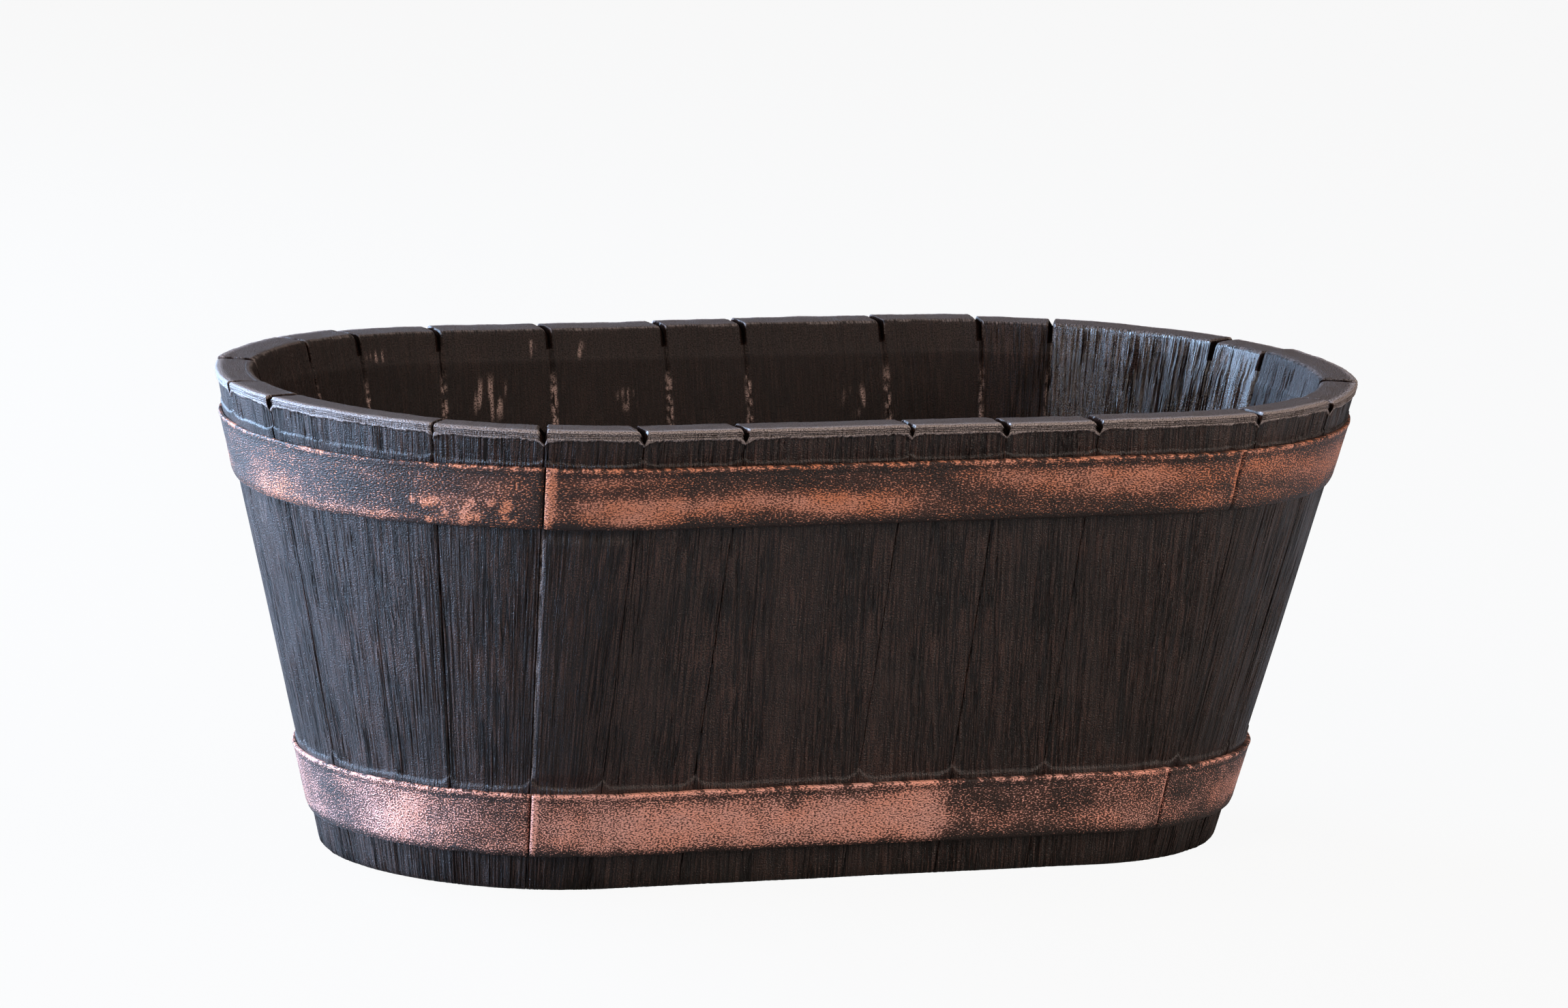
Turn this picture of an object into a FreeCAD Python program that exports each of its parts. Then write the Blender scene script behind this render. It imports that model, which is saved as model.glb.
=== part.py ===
import FreeCAD, Part
import math
import os
import Sketcher

# Oval barrel planter, coopered: staves set edge to edge round an oval, a head of jointed boards let
# into a groove near the foot, and two flat hoops of lapped straps. Millimetres, +Z up, origin on the
# floor under the middle. +X is the long way, and the front faces -Y.

# The plan is two half circles joined by straight sides. The wall leans out evenly all round, so the
# ends are parts of cones about two upright axes, and the sides are tilted planes.

sizes = {
    # The oval at the rim, and the wall
    "oval_length": 602.0,          # over the rim's corner, which its rounding then takes off
    "oval_width": 332.0,
    "tub_height": 240.0,
    "batter": 61.0,                # how far the wall leans out from foot to rim
    "stave_thickness": 21.0,       # measured level, as the rim shows it
    "rim_round": 2.0,
    "rim_notch": 3.0,              # bevel on each stave's top corner; two of them make a notch
    "seam_bevel": 0.8,             # bevel down each stave's long corners, outside and in
    "foot_bevel": 2.5,
    # The head, and the croze it sits in
    "head_height": 22.0,           # underside above the floor
    "head_thickness": 16.0,
    "head_edge": 7.0,              # blunt edge left between the two bevels
    "head_bevel": 12.0,            # how far in the bevels start
    "head_clearance": 0.3,
    "croze_depth": 6.0,
    "board_gap": 0.2,
    "dowel_diameter": 8.0,
    "dowel_length": 32.0,
    "dowel_spacing": 230.0,
    "dowel_clearance": 0.1,
    "drain_diameter": 14.0,
    "drain_spacing": 160.0,
    # The hoops
    "upper_hoop_height": 189.5,    # lower edge above the floor
    "upper_hoop_width": 31.5,
    "lower_hoop_height": 18.5,
    "lower_hoop_width": 33.0,
    "hoop_clearance": 0.2,
    "hoop_bevel": 1.0,
    "side_strap_thickness": 3.4,
    "end_strap_thickness": 2.6,
    "tongue_thickness": 1.4,       # what is left of an end strap under a side strap
    "lap_clearance": 0.1,
    # Where the side straps end, in degrees past the ends of the straight side
    "long_lap": 21.5,
    "short_lap": 15.0,
    "lap_overlap": 6.0,
    "lap_opening": 0.1,
}

# Stave widths at the rim, going anticlockwise seen from above: each was cut to its own width. A side or
# an end shares its length out in these proportions. A stave at a corner has a width on each.
stave_widths = {
    "right": [53.0, 64.0, 68.0, 105.0, 42.0, 106.5, 42.5, 40.5],
    "back": [20.0, 79.5, 45.0, 64.5, 61.0],
    "left": [55.0, 43.5, 78.0, 75.5, 46.5, 104.0, 56.0, 49.5, 13.5],
    "front": [39.5, 88.5, 51.0, 50.5, 40.5],
}

board_names = ["front", "middle_front", "middle_back", "back"]
dowels_per_joint = 2

doc = FreeCAD.newDocument("oval_barrel_planter")
sheet = doc.addObject("Spreadsheet::Sheet", "Sizes")
for side, widths in stave_widths.items():
    for number, width in enumerate(widths, 1):
        sizes["%s_width_%d" % (side, number)] = width
for row, (name, value) in enumerate(sizes.items(), 1):
    sheet.set("A%d" % row, name)
    sheet.set("B%d" % row, str(value))
    sheet.setAlias("B%d" % row, name)
doc.recompute()

# Sizes worked out from the sheet
half_run = "(Sizes.oval_length - Sizes.oval_width) / 2"
rim_radius = "Sizes.oval_width / 2"
lean = "Sizes.batter / Sizes.tub_height"
foot_radius = "(%s - Sizes.batter)" % rim_radius
inner_foot_radius = "(%s - Sizes.stave_thickness)" % foot_radius
head_middle = "(Sizes.head_height + Sizes.head_thickness / 2)"


def outer_radius(height):
    return "(%s + %s * (%s))" % (foot_radius, lean, height)


def inner_radius(height):
    return "(%s + %s * (%s))" % (inner_foot_radius, lean, height)


croze_radius = "(%s + Sizes.croze_depth)" % inner_radius(head_middle)
head_radius = "(%s - Sizes.head_clearance)" % croze_radius
bevel_height = "(Sizes.head_thickness - Sizes.head_edge) / 2"
head_slope = "(%s / Sizes.head_bevel)" % bevel_height


def value_of(expression):
    return float(sheet.evalExpression(expression))


# Sketch and feature helpers
def origin_plane(body, role):
    return next(plane for plane in body.Origin.OriginFeatures if plane.Role == role)


def add_sketch(body, name, role="XZ_Plane"):
    sketch = body.newObject("Sketcher::SketchObject", name)
    sketch.AttachmentSupport = (origin_plane(body, role), [""])
    sketch.MapMode = "FlatFace"
    return sketch


def add_outline(sketch, corners):
    points = [FreeCAD.Vector(value_of(across), value_of(up), 0) for across, up in corners]
    for start, end in zip(points, points[1:] + points[:1]):
        sketch.addGeometry(Part.LineSegment(start, end))
    count = len(points)
    for line in range(count):
        sketch.addConstraint(Sketcher.Constraint("Coincident", line, 2, (line + 1) % count, 1))
    for line, (across, up) in enumerate(corners):
        across_index = sketch.addConstraint(Sketcher.Constraint("DistanceX", line, 1, points[line].x))
        sketch.setExpression("Constraints[%d]" % across_index, across)
        up_index = sketch.addConstraint(Sketcher.Constraint("DistanceY", line, 1, points[line].y))
        sketch.setExpression("Constraints[%d]" % up_index, up)


def add_body(label, across, turn):
    body = doc.addObject("PartDesign::Body", label)
    body.Label = label
    body.Placement = FreeCAD.Placement(FreeCAD.Vector(0, 0, 0), FreeCAD.Rotation(FreeCAD.Vector(0, 0, 1), 90))
    body.setExpression("Placement.Base.x", across)
    body.setExpression("Placement.Rotation.Angle", turn)
    return body


def add_run(body, name, sketch, length, backwards=False):
    pad = body.newObject("PartDesign::Pad", name)
    pad.Profile = sketch
    pad.setExpression("Length", length)
    pad.Reversed = not backwards
    return pad


def add_turn(body, name, sketch, angle, backwards=False, both_ways=False):
    turn = body.newObject("PartDesign::Revolution", name)
    turn.Profile = sketch
    turn.ReferenceAxis = (sketch, ["V_Axis"])
    turn.setExpression("Angle", angle)
    turn.Reversed = backwards
    turn.Midplane = both_ways
    return turn


def add_bevel(body, name, base, edges, size):
    bevel = body.newObject("PartDesign::Chamfer", name)
    bevel.Base = (base, edges)
    bevel.setExpression("Size", size)
    body.Tip = bevel
    return bevel


def add_round(body, name, base, edges, radius):
    rounding = body.newObject("PartDesign::Fillet", name)
    rounding.Base = (base, edges)
    rounding.setExpression("Radius", radius)
    body.Tip = rounding
    return rounding


def edges_where(body, feature, test):
    # Names of the feature's edges whose two ends, each as (distance out, height), pass the test
    straight = value_of(half_run)
    names = []
    for number, edge in enumerate(feature.Shape.Edges, 1):
        ends = []
        for vertex in edge.Vertexes:
            point = body.Placement.multVec(vertex.Point)
            ends.append((math.hypot(max(0.0, abs(point.x) - straight), point.y), point.z))
        if len(ends) == 2 and test(*ends):
            names.append("Edge%d" % number)
    return names


def near(first, second, tolerance=1e-4):
    return abs(first - second) < tolerance


# Staves
def croze_mouth(side):
    # Where a croze side, parallel to the head's bevel, meets the sloping inner face.
    # The side is 1 above the head and -1 below it.
    floor = "(%s + %d * (Sizes.head_edge / 2 + Sizes.head_clearance))" % (head_middle, side)
    rise = "(%d * %s)" % (side, head_slope)
    across = "((%s + %s * (%s + %s * %s)) / (1 + %s * %s))" % (
        inner_foot_radius, lean, floor, rise, croze_radius, lean, rise)
    up = "(%s + %s * (%s - %s))" % (floor, rise, croze_radius, across)
    return floor, across, up


def stave_outline():
    upper_floor, upper_across, upper_mouth = croze_mouth(1)
    lower_floor, lower_across, lower_mouth = croze_mouth(-1)
    rim = "Sizes.tub_height"
    return [
        ("%s - Sizes.foot_bevel" % foot_radius, "0"),
        (outer_radius("Sizes.foot_bevel"), "Sizes.foot_bevel"),
        (outer_radius(rim), rim),
        (inner_radius(rim), rim),
        (upper_across, upper_mouth),
        (croze_radius, upper_floor),
        (croze_radius, lower_floor),
        (lower_across, lower_mouth),
        (inner_radius("0"), "0"),
    ]


def add_stave(label, across, turn, run=None, sweep=None, corner_first=None):
    # A stave is its section drawn along a straight side, turned round an end, or both at a corner.
    # At a corner, the section stands where side and end meet, and corner_first tells which comes first.
    body = add_body(label, across, turn)
    section = add_sketch(body, label + "_section")
    add_outline(section, stave_outline())
    if run:
        add_run(body, label + "_run", section, run, backwards=corner_first == "run")
    if sweep:
        add_turn(body, label + "_turn", section, sweep, backwards=corner_first == "sweep")
    return body


def share(side, first, last):
    # The part of a side or an end that its staves from first to last take up
    cells = ["Sizes.%s_width_%d" % (side, number + 1) for number in range(len(stave_widths[side]))]
    return "((%s) / (%s))" % (" + ".join(cells[first - 1:last]), " + ".join(cells))


def run_length(side, first, last):
    return "2 * %s * %s" % (half_run, share(side, first, last))


def turn_angle(end, first, last):
    return "180 * %s" % share(end, first, last)


end_turns = {"right": "-90", "left": "90"}
side_turns = {"front": "-90", "back": "90"}
signs = {"right": "", "left": "-", "front": "-", "back": ""}
counts = {side: len(widths) for side, widths in stave_widths.items()}
staves = []

# The first and last width of each side and end belong to the corners
for end in ("right", "left"):
    for number in range(2, counts[end]):
        start = "%s + %s" % (end_turns[end], turn_angle(end, 1, number - 1))
        staves.append(add_stave(
            "%s_stave_%d" % (end, number - 1), signs[end] + half_run, start,
            sweep=turn_angle(end, number, number)))
for side in ("front", "back"):
    for number in range(2, counts[side]):
        across = "%s(%s - %s)" % (signs[side], half_run, run_length(side, 1, number - 1))
        staves.append(add_stave(
            "%s_stave_%d" % (side, number - 1), across, side_turns[side],
            run=run_length(side, number, number)))

staves.append(add_stave(
    "front_right_corner_stave", half_run, side_turns["front"], corner_first="run",
    run=run_length("front", counts["front"], counts["front"]), sweep=turn_angle("right", 1, 1)))
staves.append(add_stave(
    "back_right_corner_stave", half_run, side_turns["back"], corner_first="sweep",
    run=run_length("back", 1, 1), sweep=turn_angle("right", counts["right"], counts["right"])))
staves.append(add_stave(
    "front_left_corner_stave", "-" + half_run, side_turns["front"], corner_first="sweep",
    run=run_length("front", 1, 1), sweep=turn_angle("left", counts["left"], counts["left"])))
# Here a joint falls where the side and the end meet, so two plain staves share the corner
staves.append(add_stave(
    "back_left_side_stave", "%s - %s" % (half_run, run_length("back", 1, counts["back"] - 1)),
    side_turns["back"], run=run_length("back", counts["back"], counts["back"])))
staves.append(add_stave(
    "back_left_end_stave", "-" + half_run, side_turns["back"], sweep=turn_angle("left", 1, 1)))
doc.recompute()

rim_height = value_of("Sizes.tub_height")
rim_out = value_of(rim_radius)
half_thickness = value_of("Sizes.stave_thickness / 2")
notch_floor = value_of("Sizes.tub_height - Sizes.rim_notch")
seam_starts = [value_of("Sizes.foot_bevel"), value_of(croze_mouth(1)[2])]


def is_seam(one, other):
    low, high = sorted((one[1], other[1]))
    return near(high, notch_floor) and any(near(low, start) for start in seam_starts)


def is_rim_end(one, other):
    on_rim = near(one[1], rim_height) and near(other[1], rim_height)
    return on_rim and abs(one[0] - other[0]) > half_thickness


def is_rim_edge(one, other):
    return all(near(out, rim_out) and near(height, rim_height) for out, height in (one, other))


def finish_staves(suffix, add_feature, test, size):
    for body in staves:
        base = body.Tip
        add_feature(body, body.Label + suffix, base, edges_where(body, base, test), size)
    doc.recompute()


# The notches come first, then the long corners below them, then the rounding between them
finish_staves("_notches", add_bevel, is_rim_end, "Sizes.rim_notch")
finish_staves("_seams", add_bevel, is_seam, "Sizes.seam_bevel")
finish_staves("_rim", add_round, is_rim_edge, "Sizes.rim_round")

# Head: jointed boards, cut to the oval and bevelled as one, so the boards are slices of one blank
blank = add_body("head_blank", "0", "0")
blank.setExpression("Placement.Base.z", "Sizes.head_height")
outline = add_sketch(blank, "head_outline", "XY_Plane")


def add_oval(sketch, radius):
    straight = value_of(half_run)
    size = value_of(radius)
    left = FreeCAD.Vector(-straight, 0, 0)
    right = FreeCAD.Vector(straight, 0, 0)
    up = FreeCAD.Vector(0, size, 0)
    axis = FreeCAD.Vector(0, 0, 1)
    quarter = math.pi / 2
    back = sketch.addGeometry(Part.LineSegment(right + up, left + up))
    left_end = sketch.addGeometry(Part.ArcOfCircle(Part.Circle(left, axis, size), quarter, 3 * quarter))
    front = sketch.addGeometry(Part.LineSegment(left - up, right - up))
    right_end = sketch.addGeometry(Part.ArcOfCircle(Part.Circle(right, axis, size), -quarter, quarter))
    for line, arc, line_end, arc_end in (
            (back, left_end, 2, 1), (front, left_end, 1, 2),
            (front, right_end, 2, 1), (back, right_end, 1, 2)):
        sketch.addConstraint(Sketcher.Constraint("Tangent", line, line_end, arc, arc_end))
    sketch.addConstraint(Sketcher.Constraint("Horizontal", back))
    sketch.addConstraint(Sketcher.Constraint("PointOnObject", left_end, 3, -1))
    sketch.addConstraint(Sketcher.Constraint("PointOnObject", right_end, 3, -1))
    for arc, sign in ((left_end, "-"), (right_end, "")):
        place = sketch.addConstraint(Sketcher.Constraint("DistanceX", arc, 3, value_of(sign + half_run)))
        sketch.setExpression("Constraints[%d]" % place, sign + half_run)
    reach = sketch.addConstraint(Sketcher.Constraint("Radius", right_end, size))
    sketch.setExpression("Constraints[%d]" % reach, radius)


add_oval(outline, head_radius)
slab = add_run(blank, "head_slab", outline, "Sizes.head_thickness", backwards=True)
doc.recompute()


def is_level(one, other):
    return near(one[1], other[1])


chiv = add_bevel(blank, "head_bevels", slab, edges_where(blank, slab, is_level), bevel_height)
chiv.ChamferType = "Two distances"
chiv.setExpression("Size2", "Sizes.head_bevel")

board_pitch = "2 * %s / %d" % (head_radius, len(board_names))


def add_box(name, lengths, corner):
    box = doc.addObject("Part::Box", name)
    for side, expression in zip(("Length", "Width", "Height"), lengths):
        box.setExpression(side, expression)
    for axis, expression in zip("xyz", corner):
        box.setExpression("Placement.Base." + axis, expression)
    return box


def add_rod(name, diameter, length, corner, direction):
    rod = doc.addObject("Part::Cylinder", name)
    rod.Placement = FreeCAD.Placement(FreeCAD.Vector(), FreeCAD.Rotation(FreeCAD.Vector(0, 0, 1), direction))
    rod.setExpression("Radius", "(%s) / 2" % diameter)
    rod.setExpression("Height", length)
    for axis, expression in zip("xyz", corner):
        rod.setExpression("Placement.Base." + axis, expression)
    return rod


# Dowels lie across each joint between two boards, evenly about its middle
along_y = FreeCAD.Vector(0, 1, 0)
dowels = []
bores = []
for joint_number in range(1, len(board_names)):
    for place in range(dowels_per_joint):
        across = "%g * Sizes.dowel_spacing" % (place - (dowels_per_joint - 1) / 2)
        middle = "(%d * %s - %s)" % (joint_number, board_pitch, head_radius)
        name = "%d_%d" % (joint_number, place + 1)
        dowels.append(add_rod(
            "dowel_" + name, "Sizes.dowel_diameter", "Sizes.dowel_length",
            (across, middle + " - Sizes.dowel_length / 2", head_middle), along_y))
        bores.append(add_rod(
            "dowel_bore_" + name, "Sizes.dowel_diameter + 2 * Sizes.dowel_clearance",
            "Sizes.dowel_length + 2 * Sizes.dowel_clearance",
            (across, middle + " - Sizes.dowel_length / 2 - Sizes.dowel_clearance", head_middle), along_y))

# Drain holes go through the two middle boards, clear of the dowels
straight_up = FreeCAD.Vector(0, 0, 1)
for side in (-1, 1):
    for end in (-1, 1):
        bores.append(add_rod(
            "drain_%d" % len(bores), "Sizes.drain_diameter", "2 * Sizes.head_thickness",
            ("%d * Sizes.drain_spacing / 2" % end, "%d * %s / 2" % (side, board_pitch),
             "Sizes.head_height - Sizes.head_thickness / 2"), straight_up))

dowel_set = doc.addObject("Part::Compound", "head_dowels")
dowel_set.Label = "head_dowels"
dowel_set.Links = dowels
bore_set = doc.addObject("Part::Compound", "head_bores")
bore_set.Links = bores

boards = []
for number, name in enumerate(board_names):
    slice_box = add_box(
        "board_slice_" + name,
        ("Sizes.oval_length", "%s - Sizes.board_gap" % board_pitch, "Sizes.head_thickness"),
        ("-Sizes.oval_length / 2", "%d * %s - %s + Sizes.board_gap / 2" % (number, board_pitch, head_radius),
         "Sizes.head_height"))
    plain_board = doc.addObject("Part::Common", "plain_board_" + name)
    plain_board.Base = blank
    plain_board.Tool = slice_box
    board = doc.addObject("Part::Cut", "head_board_" + name)
    board.Label = "head_board_" + name
    board.Base = plain_board
    board.Tool = bore_set
    boards.append(board)

# Hoops. A side strap runs along a side and on round both corners. Its ends lie over thin tongues on the
# end straps. Seen from above, the back and right straps are the front and left ones turned half round.
lap_floor = "Sizes.hoop_clearance + Sizes.tongue_thickness + Sizes.lap_clearance"


def strap_outline(hoop, inside, outside):
    low = "Sizes.%s_hoop_height" % hoop
    high = "(%s + Sizes.%s_hoop_width)" % (low, hoop)
    return [
        ("%s + %s" % (outer_radius(low), inside), low),
        ("%s + %s" % (outer_radius(low), outside), low),
        ("%s + %s" % (outer_radius(high), outside), high),
        ("%s + %s" % (outer_radius(high), inside), high),
    ]


def bevel_outer_edges(body, hoop, thickness):
    doc.recompute()
    outside = "Sizes.hoop_clearance + " + thickness
    corners = strap_outline(hoop, "Sizes.hoop_clearance", outside)[1:3]
    outer_corners = [(value_of(across), value_of(up)) for across, up in corners]

    def is_outer_edge(*ends):
        return any(all(near(out, across) and near(height, up) for out, height in ends)
                   for across, up in outer_corners)

    plain = body.Tip
    add_bevel(body, body.Label + "_edges", plain, edges_where(body, plain, is_outer_edge), "Sizes.hoop_bevel")


def add_side_strap(hoop, side):
    label = "%s_hoop_%s_strap" % (hoop, side)
    body = add_body(label, signs[side] + half_run, side_turns[side])
    outside = "Sizes.hoop_clearance + Sizes.side_strap_thickness"
    full = strap_outline(hoop, "Sizes.hoop_clearance", outside)
    lip = strap_outline(hoop, lap_floor, outside)
    for place, lap, backwards in (("near", "Sizes.long_lap", True), ("far", "Sizes.short_lap", False)):
        section = add_sketch(body, "%s_%s_section" % (label, place))
        lip_section = add_sketch(body, "%s_%s_lip" % (label, place))
        if place == "far":
            for sketch in (section, lip_section):
                sketch.setExpression("AttachmentOffset.Base.z", "-2 * %s" % half_run)
        add_outline(section, full)
        add_outline(lip_section, lip)
        if place == "near":
            add_run(body, label + "_run", section, "2 * %s" % half_run)
        add_turn(body, "%s_%s_turn" % (label, place), section, lap + " - Sizes.lap_overlap", backwards)
        add_turn(body, "%s_%s_lap" % (label, place), lip_section, lap, backwards)
    bevel_outer_edges(body, hoop, "Sizes.side_strap_thickness")
    return body


def add_end_strap(hoop, end):
    label = "%s_hoop_%s_strap" % (hoop, end)
    turn = {"left": "180", "right": "0"}[end]
    body = add_body(label, signs[end] + half_run, "%s - (Sizes.long_lap - Sizes.short_lap) / 2" % turn)
    arc = "180 - Sizes.long_lap - Sizes.short_lap - 2 * Sizes.lap_opening"
    section = add_sketch(body, label + "_section")
    add_outline(section, strap_outline(
        hoop, "Sizes.hoop_clearance", "Sizes.hoop_clearance + Sizes.end_strap_thickness"))
    add_turn(body, label + "_turn", section, arc, both_ways=True)
    bevel_outer_edges(body, hoop, "Sizes.end_strap_thickness")
    tongue = add_sketch(body, label + "_tongue")
    add_outline(tongue, strap_outline(
        hoop, "Sizes.hoop_clearance", "Sizes.hoop_clearance + Sizes.tongue_thickness"))
    body.Tip = add_turn(body, label + "_tongues", tongue, arc + " + 2 * Sizes.lap_overlap", both_ways=True)
    return body


straps = []
for hoop in ("upper", "lower"):
    straps += [add_side_strap(hoop, side) for side in ("front", "back")]
    straps += [add_end_strap(hoop, end) for end in ("left", "right")]
doc.recompute()

# Nothing is written unless every object is sound
parts = staves + boards + [dowel_set] + straps
for item in doc.Objects:
    if "Invalid" in item.State or "Error" in item.State:
        raise RuntimeError("%s did not build: %s" % (item.Label, item.State))
for item in parts:
    if item.Shape.isNull() or not item.Shape.isValid():
        raise RuntimeError("%s has no sound shape" % item.Label)

os.makedirs("parts", exist_ok=True)
for item in parts:
    item.Shape.exportStep("parts/%s.step" % item.Label)
print("%d nodes written" % len(parts))
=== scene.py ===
import math
import random

import bmesh
import bpy
from mathutils import Matrix, Vector, noise


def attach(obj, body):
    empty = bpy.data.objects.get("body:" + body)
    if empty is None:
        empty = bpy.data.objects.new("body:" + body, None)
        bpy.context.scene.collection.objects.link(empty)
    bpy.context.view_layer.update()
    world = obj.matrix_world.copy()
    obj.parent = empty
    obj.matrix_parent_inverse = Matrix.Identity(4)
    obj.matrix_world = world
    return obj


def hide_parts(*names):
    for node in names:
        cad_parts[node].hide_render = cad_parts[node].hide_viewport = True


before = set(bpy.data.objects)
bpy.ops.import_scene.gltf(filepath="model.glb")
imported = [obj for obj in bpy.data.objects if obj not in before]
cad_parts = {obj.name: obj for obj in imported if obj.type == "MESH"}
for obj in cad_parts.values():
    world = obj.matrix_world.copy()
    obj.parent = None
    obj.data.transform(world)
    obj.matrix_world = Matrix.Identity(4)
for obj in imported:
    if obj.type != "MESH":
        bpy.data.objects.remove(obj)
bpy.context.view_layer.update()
scene = bpy.context.scene
scene.view_settings.view_transform = "Standard"
print("frame loaded,", len(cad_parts), "nodes")

# The tub, in millimetres. A place round the wall is its distance along the rim, anticlockwise from above,
# from where the front meets the right end.
tub = {"length": 602.0, "width": 332.0, "height": 240.0, "batter": 61.0, "wall": 21.0}
metre = 0.001
rimRadius = tub["width"] / 2
halfRun = (tub["length"] - tub["width"]) / 2
lean = tub["batter"] / tub["height"]
footRadius = rimRadius - tub["batter"]
endArc = math.pi * rimRadius
sideRun = 2 * halfRun
halfRim = endArc + sideRun
wholeRim = 2 * halfRim


def wrapPoint(along, outward, height):
    along %= wholeRim
    radius = footRadius + lean * height + outward
    turned = along >= halfRim  # the left half is the right half turned half round
    if turned:
        along -= halfRim
    if along < endArc:
        angle = math.pi * (along / endArc - 0.5)
        x, y = halfRun + radius * math.cos(angle), radius * math.sin(angle)
    else:
        x, y = halfRun - (along - endArc), radius
    if turned:
        x, y = -x, -y
    return Vector((x, y, height)) * metre


def ease(low, high, value):
    share = min(max((value - low) / (high - low), 0.0), 1.0)
    return share * share * (3 - 2 * share)


def blend(low, high, share):
    return low + (high - low) * share


def wobble(x, y, seed):
    return noise.noise(Vector((x, y, seed)))


# an unevenness is kept as its size, its length, its height and a number that sets it apart from the others
def sway(look, x, y, seed):
    size, wide, tall, apart = look
    return size * wobble(x / wide, y / tall, seed + apart)


# Staves

staveSet = {
    # width at the rim, how far the face stands proud of the rest, and how deeply the inside is brushed,
    # anticlockwise from the front right corner
    "front_right_corner_stave": (93.5, 0.1, 0.3),
    "right_stave_1": (64.0, -0.2, 0.6),
    "right_stave_2": (68.0, 0.2, 0.6),
    "right_stave_3": (105.0, 0.0, 0.5),
    "right_stave_4": (42.0, 0.3, 0.9),
    "right_stave_5": (106.5, -0.1, 1.0),
    "right_stave_6": (42.5, 0.2, 0.6),
    "back_right_corner_stave": (60.5, 0.0, 0.2),
    "back_stave_1": (79.5, 0.2, 0.15),
    "back_stave_2": (45.0, -0.2, 0.15),
    "back_stave_3": (64.5, 0.1, 0.15),
    "back_left_side_stave": (61.0, 0.3, 0.1),
    "back_left_end_stave": (55.0, -0.1, 0.1),
    "left_stave_1": (43.5, 0.2, 0.1),
    "left_stave_2": (78.0, 0.0, 0.2),
    "left_stave_3": (75.5, -0.2, 0.3),
    "left_stave_4": (46.5, 0.2, 0.3),
    "left_stave_5": (104.0, -0.2, 0.3),
    "left_stave_6": (56.0, -0.1, 0.3),
    "left_stave_7": (49.5, 0.3, 0.3),
    "front_left_corner_stave": (53.0, 0.2, 0.3),
    "front_stave_1": (88.5, 0.1, 0.3),
    "front_stave_2": (51.0, -0.1, 0.3),
    "front_stave_3": (50.5, 0.2, 0.3),
}

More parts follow.
